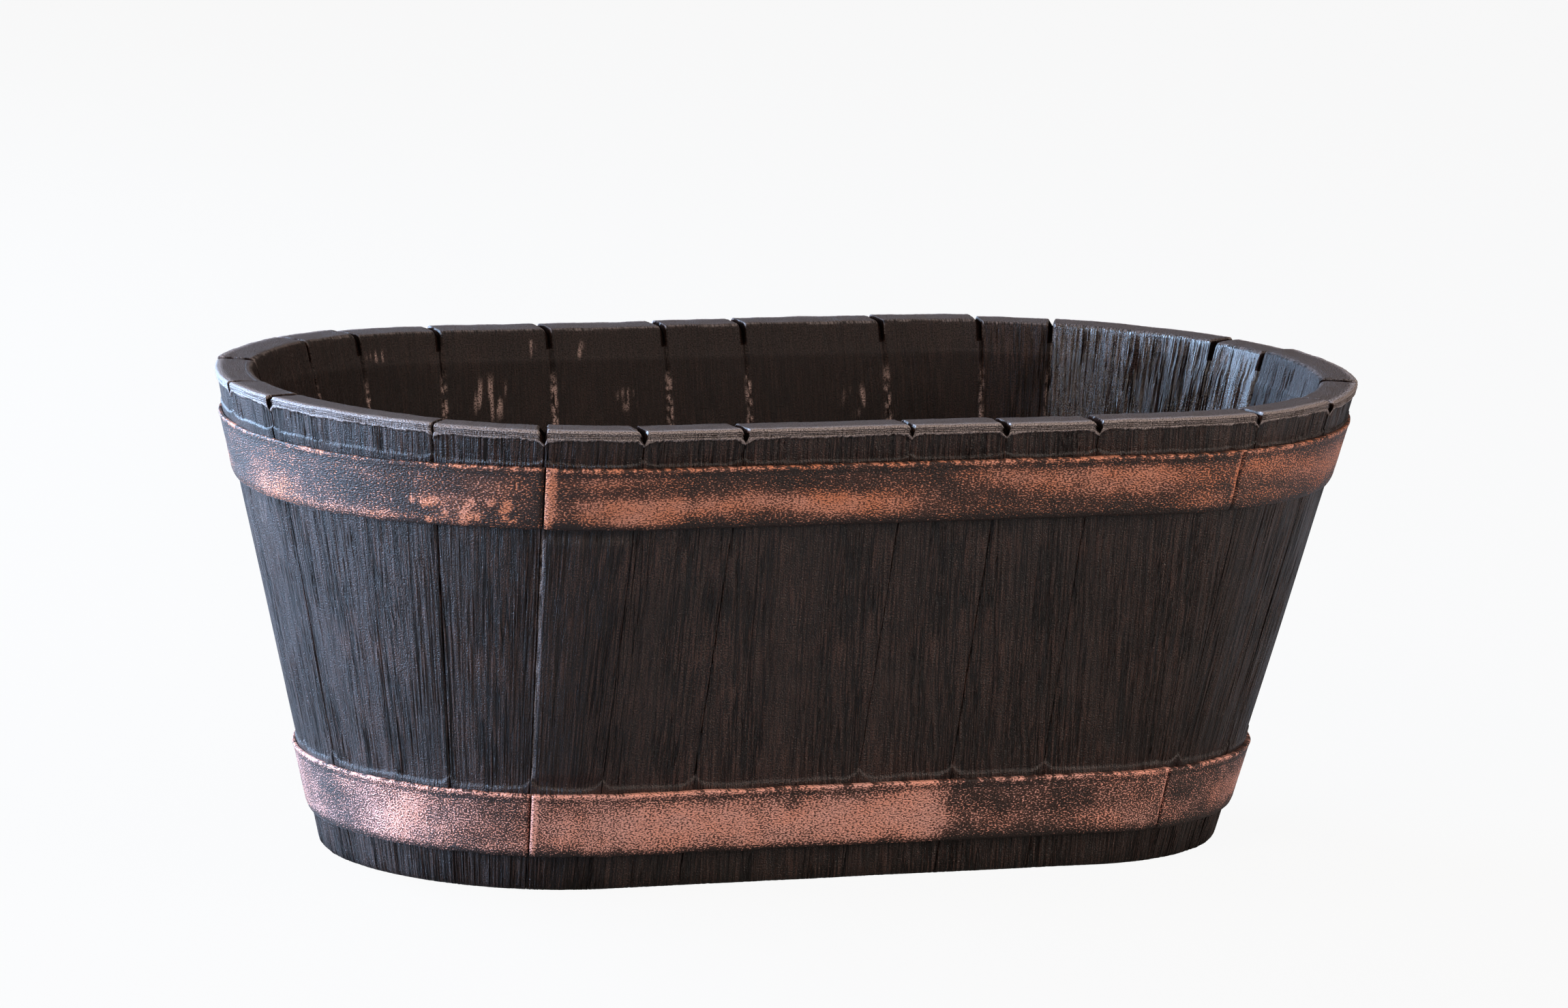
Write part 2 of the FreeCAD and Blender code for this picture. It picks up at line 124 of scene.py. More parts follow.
staveLook = {
    "board": {
        "firstJoint": -40.5,  # where the first stave starts along the rim
        "gap": 0.08,
        "column": 0.68,  # mean spacing of the columns
        "fewestColumns": 12,
        "crowding": 0.25,  # how much closer they stand at the joints
        # spacing of the rows up to each height, wide where a hoop hides them
        "outerRows": ((16.5, 5.0), (53.0, 60.0), (70.0, 0.9), (155.0, 5.0), (188.0, 1.6), (221.0, 60.0),
                      (tub["height"], 0.5)),
        "innerRows": ((186.0, 7.0), (tub["height"], 1.5)),
        "edgeRow": 1.4,
        "nearFace": 0.5,  # what still counts as on a face
        "footRound": (2.5, 3),  # radius and steps
        "rimRound": (1.6, 6),
        "innerRimRound": (2.2, 5),
        "croze": (26.0, 34.0, 6.0),  # foot, top and depth of the groove for the head
        "flatness": 0.15,  # how far each board is planed towards its chord at the rim
        "flatFrom": (219.0, 239.0),
        "nearRound": (0.35, 0.7),  # the range that the rounding of an edge is drawn from
        "farRound": (0.3, 0.6),
        "gentle": ((2.4, 4.0), (3.2, 4.4)),  # reach and drop of the two sides of a notch
        "steep": ((0.7, 1.1), (3.4, 4.4)),
        "gentleFirst": (60.0, 1100.0),  # boards that start between these have the gentle side first
        "rise": (-0.9, 0.2),  # of the board's top
        "seedStep": 7.3,
        "grainStep": 37.0,  # from one board's grain to the next
        "nearEdge": {"left_stave_7": 0.5},  # edges whose rounding is given one by one
        "farEdge": {"left_stave_5": 2.4},
        "standsOut": {"left_stave_7": 1.2},  # between the hoops
        "rubbedEdgeGlint": {"left_stave_7": (3.0, 2.0, 0.5)},  # width, depth and paleness; the paleness is a painted glint along the rubbed edge
        # how far the grain runs off the board's line, as a share of the height
        "grainRun": {"front_left_corner_stave": 0.05, "front_stave_1": 0.10, "front_stave_2": 0.11,
                     "front_stave_3": 0.11, "front_right_corner_stave": 0.10},
        "notchShadeBelow": -0.2,  # how deep in the painted notch shade, or how far planed and painted as shade, a face has to be for another finish
        "planedAndShadedAbove": 0.45,
        "polishedAbove": 0.1,
        "polishedBoard": 0.8,  # boards brushed more than this are polished
    },
    "grooves": {
        "drift": (0.9, 25.0, 70.0, 0),
        "tremble": (0.3, 7.0, 28.0, 3),
        "groove": (1.0, 2.0, 70.0, 17),
        "sharpness": 3.0,
        "bold": (1.0, 16.0, 60.0, 23),  # some places are brushed deeper
        "boldFrom": (-0.3, 0.3),
        "faintest": 0.4,
    },
    "outside": {
        "skin": (2.0, 6.0),  # depths between which this carving fades out
        "cornerReach": 8.0,  # from a joint
        "lip": 5.0,  # worn band under the rim, down to the brushed panel
        "lipDrop": 1.7,  # how much lower it comes at the joints
        "lipSoft": 0.35,
        "lipFine": (0.7, 1.4, 1.0, 31),
        "lipSlow": (0.8, 11.0, 1.0, 37),
        "lines": (1.7, 2.7, 3.7),  # fine lines in that band, from the rim
        "lineWidth": (0.05, 0.5),
        "lineDepth": 0.55,
        "lineShade": 0.7,
        "lineSway": (0.3, 13.0, 1.0, 47),
        # ledges that end the panels: from, to, level, climb at the joints, softness, paleness (a painted
        # highlight along the ledge's edge), unevenness
        "ledges": ((200.0, tub["height"], 222.6, 2.0, 0.5, 0.0, (0.7, 16.0, 1.0, 41)),
                   (30.0, 90.0, 54.2, 4.5, 0.9, 0.6, (0.8, 20.0, 1.0, 43))),
        "ledgeHighlight": 0.4,  # share of that painted highlight away from the joints
        "panelCut": 0.7,  # how deep the brushed panels lie
        "groove": 0.6,
        "endGroove": 0.8,  # deeper below and above these heights
        "ends": (20.0, 200.0),
        "faceSway": (0.3, 30.0, 70.0, 53),
        "openFrom": (57.0, 63.0),  # the wall between the hoops
        "openTo": (181.0, 187.0),
        "glintSway": (1.0, 1.2, 2.2, 83),
        "glintFrom": (-0.35, 0.2),
        "rubbedEdgeGlint": (0.1, 0.5),
        # pale scuffs: place along the rim, height, half length, half height
        "scuffs": [(1590, 164, 42, 3), (1570, 174, 8, 10), (1622, 176, 9, 11), (1058, 176, 8, 9)],
        "scuffPale": 0.3,
    },
    "inside": {
        "skin": (6.0, 3.0),  # depths in front of the inner face between which this carving fades in
        "chime": 16.0,  # bevel inside the rim
        "chimeDepth": 1.6,
        "chimeFoot": 0.4,  # share of that depth at its foot
        "chimeSoft": 0.7,
        "chimeSway": (0.8, 14.0, 1.0, 59),
        # the bevel is painted paler, a painted light on a face that turns up
        "chimePaintedLight": 0.03,
        "faceSway": (0.35, 26.0, 60.0, 61),
        "faceFine": (0.1, 4.0, 9.0, 63),
        "groove": 1.9,  # on a fully brushed board
        "grooveFade": 6.0,  # below the rim
        "grooveSeed": 5,
        "ragged": (1.0, 3.0, 2.6, 67),
        "bead": 0.9,  # rough bead along the joints: height, width, top under the rim, and foot
        "beadMean": 0.6,
        "beadWidth": (0.9, 2.4),
        "beadTop": (32.0, 20.0),
        "beadFoot": (40.0, 60.0),
        "chalkFrom": (-0.15, 0.25),
        "chalkRubbed": 0.9,  # how much of its chalk brushing takes off
        "openDepth": 1.2,  # the joints open under the rim, wider and further down on brushed boards
        "openWidth": (0.3, 1.5),
        "openTop": (34.0, 22.0),
        "openWider": 0.6,
        "openLower": 30.0,
        "smooth": 0.8,  # how much of its smoothness and of the painted shade inside brushing takes off
        "scuffs": [(766, 205, 13, 12), (690, 203, 7, 6), (834, 228, 10, 3), (715, 229, 4, 5),
                   (742, 230, 3, 5), (905, 200, 9, 10), (560, 200, 8, 9)],
        "scuffPale": 0.8,
    },
    "scuff": {
        "dashes": (1.0, 2.3, 16.0, 79),
        "dashFrom": (-0.05, 0.2),
        "edge": (0.5, 1.1),
    },
    "top": {
        "skin": (11.0, 1.0),  # heights under the rim between which this carving fades in
        "notchSway": (0.3, 5.0, 1.0, 71),
        "crown": 0.25,  # how far the top falls to its edges
        "topSway": (0.3, 12.0, 9.0, 73),
        "topFine": (0.12, 1.5, 1.5, 75),
        "edge": 2.0,  # width of its edges
        # how much paler the top is: partly wear, partly painted light on a face turned up
        "pale": 0.3,
        "planedAndShaded": 0.95,
        "planedFrom": (0.5, 1.0),
        # painted shade in the notches of the rim: how dark it makes them
        "notchShade": 0.9,
        "notchShadeFrom": (0.1, 0.6),  # how far down a notch
        "notchShadeOutside": (0.75, 1.0),  # on the outer face it keeps to the top
    },
}


def rowSpacing(depth, height):
    look = staveLook["board"]
    if depth < look["nearFace"]:
        rows = look["outerRows"]
    elif depth > tub["wall"] - look["nearFace"]:
        rows = look["innerRows"]
    else:
        return look["edgeRow"]
    return next((spacing for top, spacing in rows if height < top), rows[-1][1])


def plainStave(width):
    bm = bmesh.new()
    look = staveLook["board"]
    wallDepth = tub["wall"]
    low, high, crozeDepth = look["croze"]
    outer = [(0, 0)] + [(0, top) for top, spacing in look["outerRows"]]
    inner = [(wallDepth, top) for top, spacing in reversed(look["innerRows"])]
    bed = wallDepth - crozeDepth
    croze = [(wallDepth, high), (bed, high), (bed, low), (wallDepth, low)]
    points = [bm.verts.new((0, depth, up)) for depth, up in outer + inner + croze + [(wallDepth, 0)]]
    bm.faces.new(points)
    rim = len(outer) - 1
    for point, rounding in ((0, "footRound"), (rim, "rimRound"), (rim + 1, "innerRimRound")):
        radius, steps = look[rounding]
        bmesh.ops.bevel(bm, geom=[points[point]], offset=radius, segments=steps, profile=0.5,
                        affect="VERTICES", material=-1)
    for edge in list(bm.edges):
        middle = (edge.verts[0].co + edge.verts[1].co) / 2
        cuts = int(edge.calc_length() / rowSpacing(middle.y, middle.z))
        if cuts:
            bmesh.ops.subdivide_edges(bm, edges=[edge], cuts=cuts)
    drawOut(bm, width, max(look["fewestColumns"], round(width / look["column"])))
    return bm


def drawOut(bm, length, cuts):
    grown = bmesh.ops.extrude_face_region(bm, geom=list(bm.faces))
    moved = [item for item in grown["geom"] if isinstance(item, bmesh.types.BMVert)]
    bmesh.ops.translate(bm, verts=moved, vec=(length, 0, 0))
    long = [edge for edge in bm.edges if abs(edge.verts[0].co.x - edge.verts[1].co.x) > length / 2]
    bmesh.ops.subdivide_edges(bm, edges=long, cuts=cuts)
    bmesh.ops.recalc_face_normals(bm, faces=bm.faces)


def grooves(along, height, seed, depth):
    look = staveLook["grooves"]
    x = along + sway(look["drift"], along, height, seed) + sway(look["tremble"], along, height, seed)
    deep = max(0.0, 1 - look["sharpness"] * abs(sway(look["groove"], x, height, seed)))
    bold = ease(*look["boldFrom"], sway(look["bold"], along, height, seed))
    return depth * blend(look["faintest"], 1.0, bold) * deep


def carveOutside(along, height, width, seed, roundness, grainRun):
    look = staveLook["outside"]
    top = tub["height"]
    nearest = min(along, width - along)
    corner = max(0.0, 1 - nearest / look["cornerReach"]) ** 2
    lipEdge = (top - look["lip"] - look["lipDrop"] * corner
               + sway(look["lipFine"], along, 0, seed) + sway(look["lipSlow"], along, 0, seed))
    lip = ease(lipEdge - look["lipSoft"], lipEdge + look["lipSoft"], height)
    ledge = pale = 0.0
    for lowest, highest, level, peak, soft, paleness, ledgeSway in look["ledges"]:
        if lowest < height <= highest:
            edge = level + sway(ledgeSway, along, 0, seed) + peak * corner
            ledge = 1 - ease(edge - soft, edge + soft, height)
            pale = paleness
    smooth = max(lip, ledge)
    lines = 0.0
    if lip > 0:
        for below in look["lines"]:
            line = top - below + sway(look["lineSway"], along, below, seed)
            lines = max(lines, 1 - ease(*look["lineWidth"], abs(height - line)))
    lowEnd, highEnd = look["ends"]
    depth = look["groove"] if lowEnd <= height <= highEnd else look["endGroove"]
    panel = look["panelCut"] + grooves(along + grainRun * height, height, seed, depth)
    cut = (1 - smooth) * panel + smooth * look["lineDepth"] * lines
    if nearest < roundness:
        cut += roundness - math.sqrt(max(0.0, roundness ** 2 - (roundness - nearest) ** 2))
    cut += sway(look["faceSway"], along, height, seed)
    # a painted highlight along the ledge's edge, where it would catch the light
    ledgeHighlight = pale * ledge * (1 - ledge) * blend(look["ledgeHighlight"], 1.0, corner)
    return cut, max(lip * (1 - look["lineShade"] * lines), ledgeHighlight)


def scuffed(scuffs, place, height, seed):
    look = staveLook["scuff"]
    dashes = ease(*look["dashFrom"], sway(look["dashes"], place, height, seed))
    marked = 0.0
    for middle, level, halfLength, halfHeight in scuffs:
        reach = math.hypot((place - middle) / halfLength, (height - level) / halfHeight)
        marked = max(marked, dashes * (1 - ease(*look["edge"], reach)))
    return marked


def carveInside(along, height, width, seed, start, brushed):
    look = staveLook["inside"]
    top = tub["height"]
    nearest = min(along, width - along)
    foot = top - look["chime"] + sway(look["chimeSway"], along, 0, seed)
    chime = ease(foot - look["chimeSoft"], foot + look["chimeSoft"], height)
    cut = chime * look["chimeDepth"] * blend(look["chimeFoot"], 1.0, (height - foot) / look["chime"])
    cut += sway(look["faceSway"], along, height, seed) + sway(look["faceFine"], along, height, seed)
    bristles = grooves(along, height, seed + look["grooveSeed"], look["groove"])
    cut += brushed * ease(0, look["grooveFade"], top - height) * bristles
    ragged = sway(look["ragged"], along, height, seed)
    beadLow, beadHigh = look["beadTop"]
    bead = ((1 - ease(*look["beadWidth"], nearest)) * (1 - ease(top - beadLow, top - beadHigh, height))
            * ease(*look["beadFoot"], height))
    cut -= look["bead"] * bead * (look["beadMean"] + ragged)
    openNarrow, openWide = look["openWidth"]
    openLow, openHigh = look["openTop"]
    openWide += look["openWider"] * brushed
    cut += ((look["openDepth"] + brushed) * (1 - ease(openNarrow, openWide, nearest))
            * ease(top - openLow - look["openLower"] * brushed, top - openHigh, height))
    marks = (1 - look["chalkRubbed"] * brushed) * bead * ease(*look["chalkFrom"], ragged)
    marks = max(marks, look["scuffPale"] * scuffed(look["scuffs"], start + along, height, seed))
    return cut, marks, chime


def carveStave(co, width, seed, proud, brushed, joints, start):
    along, depth, height = co
    top, wallDepth = tub["height"], tub["wall"]
    outside, inside, rim = staveLook["outside"], staveLook["inside"], staveLook["top"]
    nearest = min(along, width - along)
    side = 0 if along < width / 2 else 1
    wearAndPaintedLight = marks = 0.0
    onOutside = 1 - ease(*outside["skin"], depth)
    onInside = ease(*(wallDepth - inner for inner in inside["skin"]), depth)
    onTop = ease(*(top - below for below in rim["skin"]), height)
    if onOutside > 0:
        cut, lip = carveOutside(along, height, width, seed, joints["round"][side], joints["grainRun"])
        between = ease(*outside["openFrom"], height) * (1 - ease(*outside["openTo"], height))
        depth += onOutside * (cut - proud - joints["standsOut"] * between)
        wearAndPaintedLight = onOutside * lip
        # a rubbed edge, carved back, with a painted glint along it
        if "rubbedEdgeGlint" in joints:
            reach, fall, pale = joints["rubbedEdgeGlint"]
            edge = max(0.0, 1 - along / reach) * between
            depth += onOutside * fall * edge
            ragged = ease(*outside["glintFrom"], sway(outside["glintSway"], along, height, seed))
            wearAndPaintedLight = max(wearAndPaintedLight, pale * onOutside * ragged * ease(*outside["rubbedEdgeGlint"], edge))
        marks = outside["scuffPale"] * onOutside * scuffed(outside["scuffs"], start + along, height, seed)
    if onInside > 0:
        cut, innerMarks, chime = carveInside(along, height, width, seed, start, brushed)
        depth -= onInside * cut
        marks = max(marks, onInside * innerMarks)
        # painted light: the chime bevel, which faces up, is made paler
        wearAndPaintedLight = max(wearAndPaintedLight, inside["chimePaintedLight"] * onInside * chime)
    # the inside is painted darker, a painted shade where less light falls, less of it on brushed boards
    planedAndShaded = onInside * (1 - inside["smooth"] * brushed)
    if onTop > 0:
        # each joint is cut across the rim in a worn V, steeper on one side
        reach, drop = joints["notch"][side]
        reach *= 1 + sway(rim["notchSway"], depth, 0, seed)
        slope = max(0.0, 1 - nearest / reach)
        height -= onTop * drop * slope
        height -= onTop * rim["crown"] * (2 * depth / wallDepth - 1) ** 2
        height += onTop * (joints["rise"] + sway(rim["topSway"], along, depth, seed)
                           + sway(rim["topFine"], along, depth, seed))
        if rim["edge"] < depth < wallDepth - rim["edge"]:
            # the rim top is painted paler, partly wear and partly painted light from above
            wearAndPaintedLight = max(wearAndPaintedLight, rim["pale"])
            planedAndShaded = max(planedAndShaded, rim["planedAndShaded"] * ease(*rim["planedFrom"], onTop))
        notchShade = ease(*rim["notchShadeFrom"], slope)
        if depth < rim["edge"]:
            notchShade *= ease(*rim["notchShadeOutside"], onTop)
        wearAndPaintedLight -= (wearAndPaintedLight + rim["notchShade"]) * notchShade  # below zero is painted shade, which darkens the notches
    return Vector((along, depth, height)), wearAndPaintedLight, marks, planedAndShaded


def drawJoints(name, start, seed):
    look = staveLook["board"]
    shuffle = random.Random(seed)
    nearRound = shuffle.uniform(*look["nearRound"])
    gentle = [shuffle.uniform(*limits) for limits in look["gentle"]]
    steep = [shuffle.uniform(*limits) for limits in look["steep"]]
    farRound = shuffle.uniform(*look["farRound"])
    firstGentle, lastGentle = look["gentleFirst"]
    joints = {
        "notch": (gentle, steep) if firstGentle < start < lastGentle else (steep, gentle),
        "round": (look["nearEdge"].get(name, nearRound), look["farEdge"].get(name, farRound)),
        "rise": shuffle.uniform(*look["rise"]),
        "standsOut": look["standsOut"].get(name, 0.0),
        "grainRun": look["grainRun"].get(name, 0.0),
    }
    if name in look["rubbedEdgeGlint"]:
        joints["rubbedEdgeGlint"] = look["rubbedEdgeGlint"][name]
    return joints


def makeStave(name, start, width, proud, brushed, seed):
    look = staveLook["board"]
    joints = drawJoints(name, start, seed)
    start += look["gap"] / 2
    width -= look["gap"]
    bm = plainStave(width)
    layers = [bm.verts.layers.float.new(label) for label in ("wearAndPaintedLight", "marks", "inside")]
    flat = {}
    for vert in bm.verts:
        turn = 2 * math.pi * vert.co.x / width
        vert.co.x -= width * look["crowding"] * math.sin(turn) / (2 * math.pi)
        across = vert.co.x + joints["grainRun"] * vert.co.z + look["grainStep"] * seed
        flat[vert] = (across * metre, (vert.co.z + vert.co.y) * metre)
        co, *masks = carveStave(vert.co, width, seed * look["seedStep"], proud, brushed, joints, start)
        for layer, mask in zip(layers, masks):
            vert[layer] = mask
        vert.co = wrapPoint(start + co.x, -co.y, co.z)
        flatter = look["flatness"] * ease(*look["flatFrom"], co.z)
        if flatter > 0:
            near, far = (wrapPoint(end, -co.y, co.z) for end in (start, start + width))
            vert.co = vert.co.lerp(near.lerp(far, co.x / width), flatter)
    finishes = [staveWood, staveWoodInside, staveWoodNotch]
    polished = brushed > look["polishedBoard"]
    if polished:
        finishes.append(staveWoodPolished)
    for face in bm.faces:
        # faces deep in the painted notch shade take the notch finish
        notchShade, planedAndShaded = (min(vert[layer] for vert in face.verts) for layer in (layers[0], layers[2]))
        if notchShade < look["notchShadeBelow"]:
            face.material_index = finishes.index(staveWoodNotch)
        elif planedAndShaded > look["planedAndShadedAbove"]:
            face.material_index = finishes.index(staveWoodInside)
        elif polished and planedAndShaded > look["polishedAbove"]:
            face.material_index = finishes.index(staveWoodPolished)
    finishPiece(bm, name, finishes, "boardUV", flat)


sharpEdge = math.radians(50)


def finishPiece(bm, node, materials, uvName, flat):
    uvLayer = bm.loops.layers.uv.new(uvName)
    for face in bm.faces:
        face.smooth = True
        for loop in face.loops:
            loop[uvLayer].uv = flat[loop.vert]
    bmesh.ops.recalc_face_normals(bm, faces=bm.faces)
    mesh = bpy.data.meshes.new(node + "_look")
    bm.to_mesh(mesh)
    bm.free()
    mesh.set_sharp_from_angle(angle=sharpEdge)
    for material in materials:
        mesh.materials.append(material)
    piece = bpy.data.objects.new(node + "_look", mesh)
    scene.collection.objects.link(piece)
    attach(piece, "root")
    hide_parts(node)


# Hoops

hoopLook = {
    "bands": {"upper": (189.5, 221.0), "lower": (18.5, 51.5)},  # foot and top
    "strap": {
        "clearance": 0.2,
        "thickness": {"front": 3.4, "right": 2.6, "back": 3.4, "left": 2.6},
        "longLap": 21.5,  # degrees that a side strap runs on round each end
        "shortLap": 15.0,
        "lapGap": 0.45,
        "column": 1.3,
        "row": 1.3,
        "nearFace": 0.1,
        "edgeRound": (1.3, 4),  # radius and steps
        "skin": (0.8, 0.6),  # from the back and from the face, where the hammering fades out
        # how much thinner a strap is beaten along its middle, and how far it has slipped down there
        "beaten": {"upper_hoop_left_strap": (0.45, 2.8), "lower_hoop_left_strap": (0.5, 0.0),
                   "upper_hoop_right_strap": (0.45, 0.0)},
        "beatenFrom": (0.0, 0.3),
        "hammered": (0.08, 1.9, 1.9, 0),
        "faceSway": (0.22, 16.0, 11.0, 9),
        "topBead": (0.35, 0.90, 0.96),  # size, and from where to where up the strap
        "footFall": (0.6, 0.0, 0.12),
        "endFall": (0.9, 0.0, 1.8),  # and along it
        "edgeSway": (0.45, 24.0, 1.0, 1),
        "edgeFine": (0.2, 4.0, 1.0, 2),
    },
    # copper brushed over the dark metal. An unevenness has its turns up the strap in place of a height
    "paint": {
        "seedStep": 5.1,
        "slow": (0.14, 22.0, 2.2, 0),
        "streaks": (0.1, 60.0, 6.0, 3),
        "flecks": (0.12, 5.0, 6.0, 11),
        "ragged": (0.25, 9.0, 4.0, 0),
        "strokeEdge": (0.1, 1.25),
        "liftEdge": (-0.9, 0.9),
        "liftFade": 0.3,
        "drip": 0.45,
        "dripSize": (1.4, 3.0),
        "dripEdge": (0.5, 1.2),
        "dripHeight": 31.0,  # of the strap
        "paintedShadowLine": (0.16, 0.84, 0.88, 0.90, 0.94),  # shade, and where it starts, is full, fades and ends
        "brightEdge": (0.5, 0.92, 0.97),  # strength, and from where to where
        "dots": (1.0, 3.0, 9.0, 5),
        "dotRuns": (0.4, 30.0, 0.0, 7),
        "dotFrom": (-0.2, 0.3),
        "footEdge": (0.0, 0.14),
        "most": 0.85,
    },
    # how much lies all over, how dark the foot is, and the strokes, each with its place along the rim, half
    # length, height up the strap, half height and strength
    "brushing": {
        "upper_hoop_front_strap": (0.27, 0.3, [
            (1625, 2.5, 0.6, 0.7, 0.7),
            (1300, 48, 0.30, 0.32, 0.55), (1290, 40, 0.78, 0.22, 0.2), (1372, 60, 0.42, 0.24, 0.45),
            (1420, 40, 0.36, 0.26, 0.45), (1562, 64, 0.62, 0.34, 0.5), (1498, 44, 0.72, 0.25, 0.3),
            # the stroke at 1253 is copper on the raised lap end, painted bright as its highlight
            (1604, 22, 0.25, 0.22, 0.3), (1253, 4, 0.5, 0.8, 0.9)]),
        "upper_hoop_left_strap": (0.19, 0.0, [
            (1085, 30, 0.30, 0.36, 0.38), (1198, 20, 0.36, 0.2, 0.35), (1160, 80, 0.10, 0.10, 0.3),
            (1225, 30, 0.6, 0.5, 0.2), (900, 60, 0.5, 0.3, 0.4), (980, 40, 0.3, 0.3, 0.4)]),
        "upper_hoop_right_strap": (0.33, 0.2, [
            (1650, 34, 0.7, 0.3, 0.3), (140, 60, 0.5, 0.3, 0.4), (260, 50, 0.35, 0.25, 0.4),
            (380, 50, 0.6, 0.3, 0.4)]),
        "upper_hoop_back_strap": (0.28, 0.3, [
            (520, 60, 0.4, 0.3, 0.5), (640, 50, 0.65, 0.25, 0.4), (760, 60, 0.35, 0.25, 0.5)]),
        "lower_hoop_front_strap": (0.48, 0.35, [
            (1625, 2.0, 0.6, 0.7, 0.5),
            (1330, 90, 0.45, 0.5, 0.35), (1440, 62, 0.42, 0.45, 0.50), (1475, 15, 0.5, 0.8, 0.3),
            # the stroke at 1253 is copper on the raised lap end, painted bright as its highlight
            (1560, 60, 0.35, 0.2, 0.2), (1253, 3, 0.5, 0.8, 0.9)]),
        "lower_hoop_left_strap": (0.48, 0.35, [
            (1158, 44, 0.4, 0.6, 0.20), (1205, 30, 0.45, 0.5, 0.12), (1080, 34, 0.5, 0.7, -0.17),
            (930, 70, 0.5, 0.4, 0.35)]),
        "lower_hoop_right_strap": (0.30, 0.3, [
            (1640, 40, 0.3, 0.25, 0.15), (150, 70, 0.5, 0.4, 0.35), (300, 60, 0.4, 0.3, 0.4)]),
        "lower_hoop_back_strap": (0.38, 0.35, [
            (540, 70, 0.5, 0.45, 0.35), (680, 60, 0.4, 0.4, 0.4), (770, 40, 0.6, 0.4, 0.35)]),
    },
    # where the brush was lifted: place, how far on the paint stays thin, strength
    "lifted": {"lower_hoop_front_strap": (1491, 130, 0.22), "lower_hoop_left_strap": (1176, 70, 0.10)},
    # where it dripped: from, to, lowest, highest, how many drops
    "dripped": {"upper_hoop_left_strap": (1180, 1236, 0.06, 0.42, 22)},
}


def strapSpan(side):
    longArc, shortArc = (endArc * hoopLook["strap"][lap] / 180 for lap in ("longLap", "shortLap"))
    spans = {
        "front": (halfRim + endArc - longArc, 2 * halfRim + shortArc),
        "right": (shortArc, endArc - longArc),
        "back": (endArc - longArc, halfRim + shortArc),
        "left": (halfRim + shortArc, halfRim + endArc - longArc),
    }
    return spans[side]


def plainStrap(length, low, high, thickness):
    bm = bmesh.new()
    look = hoopLook["strap"]
    inside = look["clearance"]
    outside = inside + thickness
    corners = ((inside, low), (outside, low), (outside, high), (inside, high))
    points = [bm.verts.new((0, outward, up)) for outward, up in corners]
    bm.faces.new(points)
    radius, steps = look["edgeRound"]
    bmesh.ops.bevel(bm, geom=points[1:3], offset=radius, segments=steps, profile=0.5,
                    affect="VERTICES", material=-1)
    for edge in list(bm.edges):
        middle = (edge.verts[0].co + edge.verts[1].co) / 2
        if middle.y > outside - look["nearFace"]:
            bmesh.ops.subdivide_edges(bm, edges=[edge], cuts=round(edge.calc_length() / look["row"]))
    drawOut(bm, length, round(length / look["column"]))
    return bm


def daub(look, along, up, seed):
    size, wide, turns, apart = look
    return size * wobble(along / wide, up * turns, seed + apart)


def brushedOn(name, along, up, seed):
    look = hoopLook["paint"]
    amount, darkFoot, strokes = hoopLook["brushing"][name]
    amount += daub(look["slow"], along, up, seed) + daub(look["streaks"], along, up, seed)
    amount += daub(look["flecks"], along, up, seed)
    for place, halfLength, level, halfHeight, strength in strokes:
        apart = (along - place + wholeRim / 2) % wholeRim - wholeRim / 2
        reach = math.hypot(apart / halfLength, (up - level) / halfHeight)
        reach += daub(look["ragged"], along, up, seed + place)
        amount += strength * (1 - ease(*look["strokeEdge"], reach))
    if name in hoopLook["lifted"]:
        place, fade, strength = hoopLook["lifted"][name]
        thin = 1 - ease(look["liftFade"] * fade, fade, along - place)
        amount -= strength * ease(*look["liftEdge"], along - place) * thin
    if name in hoopLook["dripped"]:
        first, last, lowest, highest, count = hoopLook["dripped"][name]
        drops = random.Random(count)
        for _ in range(count):
            place, level = drops.uniform(first, last), drops.uniform(lowest, highest)
            size = drops.uniform(*look["dripSize"])
            reach = math.hypot((along - place) / size, (up - level) * look["dripHeight"] / size)
            amount += look["drip"] * (1 - ease(*look["dripEdge"], reach))
    # the upper edge is rubbed bright in dots, over a painted shadow line under its bead
    shade, lineFrom, lineFull, lineEnd, lineGone = look["paintedShadowLine"]
    amount -= shade * ease(lineFrom, lineFull, up) * (1 - ease(lineEnd, lineGone, up))
    bright, *edge = look["brightEdge"]
    dots = daub(look["dots"], along, up, seed) + daub(look["dotRuns"], along, up, seed)
    amount += bright * ease(*edge, up) * ease(*look["dotFrom"], dots)
    amount -= darkFoot * (1 - ease(*look["footEdge"], up))
    return min(max(amount, 0.0), look["most"])


